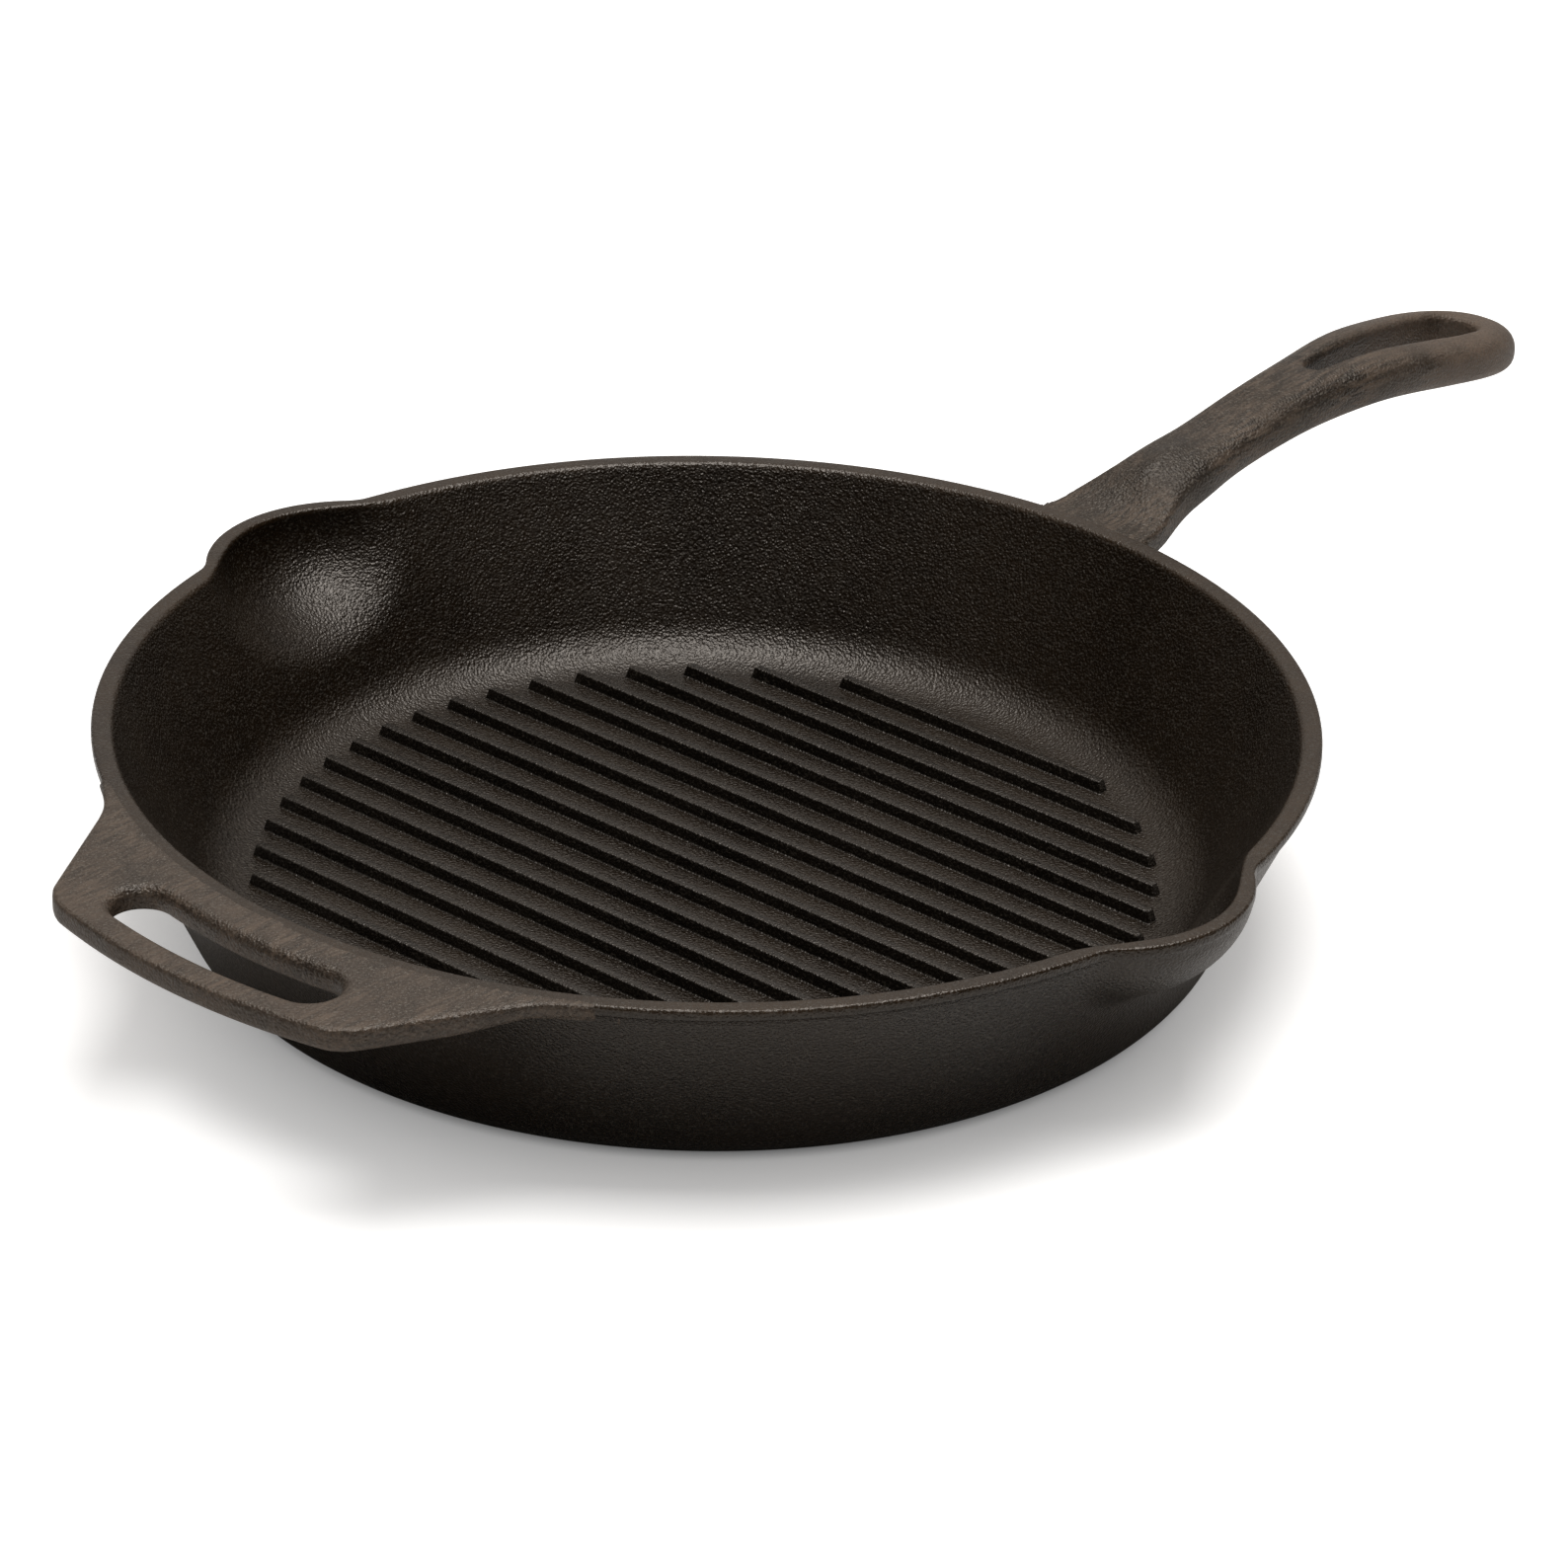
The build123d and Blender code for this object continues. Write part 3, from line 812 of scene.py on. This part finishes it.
def mathNode(tree, operation, a, b):
    node = tree.nodes.new("ShaderNodeMath")
    node.operation = operation
    feed(tree, node.inputs[0], a)
    feed(tree, node.inputs[1], b)
    return node.outputs[0]


def added(tree, a, b):
    return mathNode(tree, "ADD", a, b)


def scaled(tree, value, factor):
    return mathNode(tree, "MULTIPLY", value, factor)


def noiseNode(tree, vector, scale, detail=2.0, rough=0.5):
    node = tree.nodes.new("ShaderNodeTexNoise")
    node.inputs["Detail"].default_value = detail
    node.inputs["Roughness"].default_value = rough
    feed(tree, node.inputs["Vector"], vector)
    feed(tree, node.inputs["Scale"], scale)
    return node.outputs["Fac"]


def rangeNode(tree, value, low, high, lowOut=0.0, highOut=1.0):
    node = tree.nodes.new("ShaderNodeMapRange")
    node.interpolation_type = "SMOOTHSTEP"
    for label, number in (("Value", value), ("From Min", low), ("From Max", high),
                          ("To Min", lowOut), ("To Max", highOut)):
        feed(tree, node.inputs[label], number)
    return node.outputs["Result"]


def mixColour(tree, share, a, b, blend="MIX"):
    node = tree.nodes.new("ShaderNodeMix")
    node.data_type = "RGBA"
    node.blend_type = blend
    for place, value in ((0, share), (6, a), (7, b)):
        feed(tree, node.inputs[place], value)
    return node.outputs[2]


def splitPlace(group, start):
    node = group.nodes.new("ShaderNodeSeparateXYZ")
    group.links.new(start.outputs["Vector"], node.inputs[0])
    return node.outputs


def makeGrainGroup():
    group, start, end = newGroup("castGrain", (
        ("Vector", "NodeSocketVector", None), ("Peel Scale", "NodeSocketFloat", 1400.0),
        ("Sand Scale", "NodeSocketFloat", 1900.0)),
        (("Height", "NodeSocketFloat"), ("Hollow", "NodeSocketFloat")))
    vector, v = start.outputs["Vector"], grainValues
    peel = noiseNode(group, vector, start.outputs["Peel Scale"],
                     v["peel"]["detail"], v["peel"]["rough"])
    pebble = group.nodes.new("ShaderNodeTexVoronoi")
    pebble.feature = "SMOOTH_F1"
    pebble.inputs["Smoothness"].default_value = v["pebble"]["smooth"]
    group.links.new(vector, pebble.inputs["Vector"])
    group.links.new(start.outputs["Peel Scale"], pebble.inputs["Scale"])
    sand = noiseNode(group, vector, start.outputs["Sand Scale"],
                     v["sand"]["detail"], v["sand"]["rough"])
    height = scaled(group, peel, v["peel"]["height"])
    height = mathNode(group, "SUBTRACT", height,
                      scaled(group, pebble.outputs["Distance"], v["pebble"]["height"]))
    height = added(group, height, scaled(group, sand, v["sand"]["height"]))
    height = added(group, height, scaled(group, noiseNode(group, vector, v["wave"]["scale"]),
                                         v["wave"]["height"]))
    group.links.new(height, end.inputs["Height"])
    group.links.new(rangeNode(group, peel, *v["peel"]["hollow"], 1.0, 0.0), end.inputs["Hollow"])
    return group


def makeToneGroup():
    group, start, end = newGroup("seasonedTone", (
        ("Vector", "NodeSocketVector", None), ("Deep", "NodeSocketColor", (0.003, 0.001, 0.0, 1)),
        ("Warm", "NodeSocketColor", (0.011, 0.006, 0.002, 1)),
        ("Fleck", "NodeSocketColor", (0.04, 0.034, 0.027, 1)),
        ("Patch Scale", "NodeSocketFloat", 14.0)),
        (("Color", "NodeSocketColor"), ("Patch", "NodeSocketFloat")))
    vector, v = start.outputs["Vector"], toneValues
    patch = noiseNode(group, vector, start.outputs["Patch Scale"],
                      v["patch"]["detail"], v["patch"]["rough"])
    patch = rangeNode(group, patch, *v["patch"]["range"])
    share = scaled(group, patch, v["patch"]["share"])
    for part, detail, rough in (("blotch", 3.0, 0.6), ("speck", 2.0, 0.5)):
        noise = noiseNode(group, vector, v[part]["scale"], detail, rough)
        noise = rangeNode(group, noise, *v[part]["range"])
        share = added(group, share, scaled(group, noise, v[part]["share"]))
    fleck = rangeNode(group, noiseNode(group, vector, v["fleck"]["scale"], 1.0),
                      *v["fleck"]["range"], 0.0, v["fleck"]["most"])
    colour = mixColour(group, share, start.outputs["Deep"], start.outputs["Warm"])
    group.links.new(mixColour(group, fleck, colour, start.outputs["Fleck"]), end.inputs["Color"])
    group.links.new(patch, end.inputs["Patch"])
    return group


def makeHeightGroup():  # the rim, by its height, with a broken edge: where the rim's top takes the lighter tone of wear and painted sheen
    group, start, end = newGroup("heightMask", (
        ("Vector", "NodeSocketVector", None), ("Low", "NodeSocketFloat", 0.0),
        ("High", "NodeSocketFloat", 1.0), ("Break Up", "NodeSocketFloat", 0.0005)),
        (("Mask", "NodeSocketFloat"),))
    cloud = noiseNode(group, start.outputs["Vector"], wearAndSheenValues["rimScale"], 3.0, 0.6)
    cloud = scaled(group, mathNode(group, "SUBTRACT", cloud, 0.5), start.outputs["Break Up"])
    level = added(group, splitPlace(group, start)["Z"], cloud)
    mask = rangeNode(group, level, start.outputs["Low"], start.outputs["High"])
    group.links.new(mask, end.inputs["Mask"])
    return group


def makeRubGroup():  # fine hair-thin streaks that handling leaves
    group, start, end = newGroup("rubStreaks", (
        ("Vector", "NodeSocketVector", None), ("Fineness", "NodeSocketFloat", 900.0)),
        (("Mask", "NodeSocketFloat"),))
    v = wearAndSheenValues["streak"]
    turn = group.nodes.new("ShaderNodeMapping")
    turn.inputs["Rotation"].default_value = v["turn"]
    turn.inputs["Scale"].default_value = v["stretch"]
    group.links.new(start.outputs["Vector"], turn.inputs["Vector"])
    streak = noiseNode(group, turn.outputs["Vector"], start.outputs["Fineness"], 2.0, 0.6)
    patch = noiseNode(group, start.outputs["Vector"], v["patchScale"], 3.0, 0.6)
    patch = rangeNode(group, patch, *v["patchRange"])
    streak = rangeNode(group, streak, *v["range"])
    group.links.new(scaled(group, streak, patch), end.inputs["Mask"])
    return group


def makeWearAndSheenGroup():  # the loop of the long handle and the helper plate: held most, and lighter in colour as painted sheen
    group, start, end = newGroup("wearAndSheenPlaces", (("Vector", "NodeSocketVector", None),),
                                 (("Mask", "NodeSocketFloat"),))
    v = wearAndSheenValues["heldAndSheen"]
    cloud = noiseNode(group, start.outputs["Vector"], v["scale"], 3.0, 0.6)
    cloud = scaled(group, mathNode(group, "SUBTRACT", cloud, 0.5), v["spread"])
    place = added(group, splitPlace(group, start)["X"], cloud)
    # painted sheen with wear: the loop fully, the helper plate in part
    loop = rangeNode(group, place, *v["loop"])
    plate = rangeNode(group, place, *v["plate"], 0.0, v["plateShare"])
    group.links.new(added(group, loop, plate), end.inputs["Mask"])
    return group


grainGroup, toneGroup, heightGroup, rubGroup, wearAndSheenGroup = (
    makeGrainGroup(), makeToneGroup(), makeHeightGroup(), makeRubGroup(), makeWearAndSheenGroup())

# the lighter wear-and-sheen tones are wear, and also painted sheen on the rim top and on the
# handles' loop and plate
finishValues = {
    "bowlIron": {"deep": (0.0030, 0.0013, 0.0002), "warm": (0.0110, 0.0058, 0.0018), "patch": 14.0,
                 "wearAndSheenDeep": (0.008, 0.0038, 0.0010), "wearAndSheenWarm": (0.030, 0.0170, 0.0075),
                 "rough": (0.24, 0.33), "bump": 0.21, "peel": 1400.0, "rim": (0.0532, 0.0546),
                 "rub": 0.0, "fleck": 1.0},
    "ribIron": {"deep": (0.0015, 0.0009, 0.0004), "warm": (0.0070, 0.0045, 0.0024), "patch": 30.0,
                "wearAndSheenDeep": (0.0015, 0.0009, 0.0004), "wearAndSheenWarm": (0.0070, 0.0045, 0.0024),
                "rough": (0.27, 0.36), "bump": 0.24, "peel": 1400.0, "rim": (0.0600, 0.0620),
                "rub": 0.0, "fleck": 1.0},
    "handleIron": {"deep": (0.0030, 0.0013, 0.0003), "warm": (0.0230, 0.0145, 0.0078),
                   "patch": 26.0, "wearAndSheenDeep": (0.0170, 0.0110, 0.0065),
                   "wearAndSheenWarm": (0.1100, 0.0780, 0.0570), "rough": (0.36, 0.50),
                   "bump": 0.28, "peel": 1400.0, "rim": None, "rub": 0.6, "fleck": 2.2},
}
ironValues = {  # the same for all three
    "rubTone": (0.12, 0.085, 0.06), "fleckTone": (0.040, 0.034, 0.027),
    "hollowTone": (0.45, 0.42, 0.40), "hollowShare": 0.4, "rubRough": 0.12, "hollowRough": 0.08,
    "specularTint": (1.0, 0.92, 0.84, 1), "wearAndSheenBump": 0.8,
}


def makeIron(name):
    v = {**ironValues, **finishValues[name]}
    material = bpy.data.materials.new(name)
    material.use_nodes = True
    tree = material.node_tree
    tree.nodes.clear()
    output = tree.nodes.new("ShaderNodeOutputMaterial")
    shader = tree.nodes.new("ShaderNodeBsdfPrincipled")
    tree.links.new(shader.outputs[0], output.inputs["Surface"])
    place = tree.nodes.new("ShaderNodeTexCoord").outputs["Object"]

    def placed(group):
        node = tree.nodes.new("ShaderNodeGroup")
        node.node_tree = group
        tree.links.new(place, node.inputs["Vector"])
        return node

    tone, wearAndSheenTone, grain, rub = (
        placed(group) for group in (toneGroup, toneGroup, grainGroup, rubGroup))
    for node, deep, warm in ((tone, "deep", "warm"), (wearAndSheenTone, "wearAndSheenDeep", "wearAndSheenWarm")):
        node.inputs["Deep"].default_value = (*v[deep], 1)
        node.inputs["Warm"].default_value = (*v[warm], 1)
        node.inputs["Fleck"].default_value = (*(level * v["fleck"] for level in v["fleckTone"]), 1)
        node.inputs["Patch Scale"].default_value = v["patch"]
    grain.inputs["Peel Scale"].default_value = v["peel"]
    if v["rim"]:  # the bowl's rim top and the handles' loop and plate turn lighter: wear, and painted sheen
        mask = placed(heightGroup)
        mask.inputs["Low"].default_value, mask.inputs["High"].default_value = v["rim"]
    else:
        mask = placed(wearAndSheenGroup)
    hollow = grain.outputs["Hollow"]
    # painted sheen and wear: where the mask is, the colour turns to the lighter tone
    colour = mixColour(tree, mask.outputs["Mask"], tone.outputs["Color"], wearAndSheenTone.outputs["Color"])
    colour = mixColour(tree, scaled(tree, hollow, v["hollowShare"]), colour,
                       mixColour(tree, 1.0, colour, v["hollowTone"], "MULTIPLY"))
    rubbed = scaled(tree, rub.outputs["Mask"], v["rub"])
    tree.links.new(mixColour(tree, rubbed, colour, v["rubTone"]), shader.inputs["Base Color"])
    rough = rangeNode(tree, tone.outputs["Patch"], 0.0, 1.0, *v["rough"])
    rough = added(tree, rough, scaled(tree, rubbed, v["rubRough"]))
    rough = added(tree, rough, scaled(tree, hollow, v["hollowRough"]))
    tree.links.new(rough, shader.inputs["Roughness"])
    shader.inputs["Specular IOR Level"].default_value = 0.5
    shader.inputs["Specular Tint"].default_value = v["specularTint"]
    bump = tree.nodes.new("ShaderNodeBump")
    bump.inputs["Strength"].default_value = 1.0
    bump.inputs["Distance"].default_value = v["bump"] * mm
    calm = rangeNode(tree, mask.outputs["Mask"], 0.0, 1.0, 1.0, v["wearAndSheenBump"])
    tree.links.new(scaled(tree, grain.outputs["Height"], calm), bump.inputs["Height"])
    tree.links.new(bump.outputs[0], shader.inputs["Normal"])
    return material


bowlIron, ribIron, handleIron = (makeIron(name) for name in finishValues)


def dress(thing, material, slot, *nodes):
    thing.data.materials.clear()
    thing.data.materials.append(material)
    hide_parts(*nodes)
    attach(thing, "root")


dress(bowl, bowlIron, "side_wall", "pan_base", "side_wall", "rim_band", "left_pour_spout",
      "right_pour_spout")
for number, rib in enumerate(ribs, 1):
    dress(rib, ribIron, "grill_rib", f"grill_rib_{number:02d}")
dress(longHandle, handleIron, "long_handle", "long_handle")
dress(helper, handleIron, "helper_handle", "helper_handle")
print("finishes set")


# A pale floor with a painted contact shadow, and a light tent that is bright above and behind the
# pan.

studioValues = {
    "floorTone": (0.74, 0.73, 0.717), "floorGlow": 0.67, "paintedShadowReach": 0.05, "paintedShadowPower": 0.65,
    "skyTone": (1.0, 0.935, 0.875), "skyLow": 0.012, "skyTop": 0.42, "skyTopRange": (0.4, 0.9),
    "skyBack": 0.50, "skyAim": (0.596, 0.515, 0.616), "skyBackRange": (0.45, 0.94),
    "lampPlace": (0.08, -0.10, 1.9), "lampAim": (0, 0, 0.03), "lampSize": 1.15, "lampPower": 32.5,
}


def makeFloor():
    v = studioValues
    clearSelection()
    bpy.ops.mesh.primitive_plane_add(size=12, location=(0, 0, 0))
    floor = nameIt("studioFloor")
    material = bpy.data.materials.new("paleFloor")
    material.use_nodes = True
    tree = material.node_tree
    tree.nodes.clear()
    output = tree.nodes.new("ShaderNodeOutputMaterial")
    diffuse = tree.nodes.new("ShaderNodeBsdfDiffuse")
    diffuse.inputs["Color"].default_value = (*v["floorTone"], 1)
    glow = tree.nodes.new("ShaderNodeEmission")
    # painted shadow: ambient occlusion dims the floor's camera-only glow near the pan
    paintedContactShadow = tree.nodes.new("ShaderNodeAmbientOcclusion")
    paintedContactShadow.inputs["Distance"].default_value = v["paintedShadowReach"]
    unshadedShare = mathNode(tree, "POWER", paintedContactShadow.outputs["AO"], v["paintedShadowPower"])
    tree.links.new(scaled(tree, unshadedShare, v["floorGlow"]), glow.inputs["Strength"])
    path = tree.nodes.new("ShaderNodeLightPath")
    dark = tree.nodes.new("ShaderNodeEmission")
    dark.inputs["Strength"].default_value = 0
    mix = tree.nodes.new("ShaderNodeMixShader")
    tree.links.new(path.outputs["Is Camera Ray"], mix.inputs[0])
    tree.links.new(dark.outputs[0], mix.inputs[1])
    tree.links.new(glow.outputs[0], mix.inputs[2])
    add = tree.nodes.new("ShaderNodeAddShader")
    tree.links.new(diffuse.outputs[0], add.inputs[0])
    tree.links.new(mix.outputs[0], add.inputs[1])
    tree.links.new(add.outputs[0], output.inputs["Surface"])
    floor.data.materials.append(material)


def makeLight():
    v = studioValues
    bpy.ops.object.light_add(type="AREA", location=v["lampPlace"])
    lamp = bpy.context.object
    lamp.name = "topSoftbox"
    lamp.data.shape = "RECTANGLE"
    lamp.data.size = lamp.data.size_y = v["lampSize"]
    lamp.data.energy = v["lampPower"]
    aim = Vector(v["lampAim"]) - lamp.location
    lamp.rotation_euler = aim.to_track_quat("-Z", "Y").to_euler()
    world = bpy.data.worlds.new("studioWorld")
    bpy.context.scene.world = world
    world.use_nodes = True
    tree = world.node_tree
    tree.nodes.clear()
    output = tree.nodes.new("ShaderNodeOutputWorld")
    back = tree.nodes.new("ShaderNodeBackground")
    path = tree.nodes.new("ShaderNodeLightPath")
    direction = tree.nodes.new("ShaderNodeTexCoord").outputs["Generated"]
    behind = tree.nodes.new("ShaderNodeVectorMath")
    behind.operation = "DOT_PRODUCT"
    tree.links.new(direction, behind.inputs[0])
    behind.inputs[1].default_value = v["skyAim"]
    height = tree.nodes.new("ShaderNodeSeparateXYZ")
    tree.links.new(direction, height.inputs[0])
    sky = added(tree, rangeNode(tree, behind.outputs["Value"], *v["skyBackRange"],
                                v["skyLow"], v["skyBack"]),
                rangeNode(tree, height.outputs["Z"], *v["skyTopRange"], 0.0, v["skyTop"]))
    strength = rangeNode(tree, path.outputs["Is Camera Ray"], 0.0, 1.0, sky, 1.0)
    tree.links.new(strength, back.inputs["Strength"])  # only the camera sees it white
    tree.links.new(mixColour(tree, path.outputs["Is Camera Ray"], v["skyTone"], (1, 1, 1)),
                   back.inputs["Color"])
    tree.links.new(back.outputs[0], output.inputs["Surface"])
    bpy.context.scene.view_settings.view_transform = "Standard"


makeFloor()
makeLight()
print("studio set")
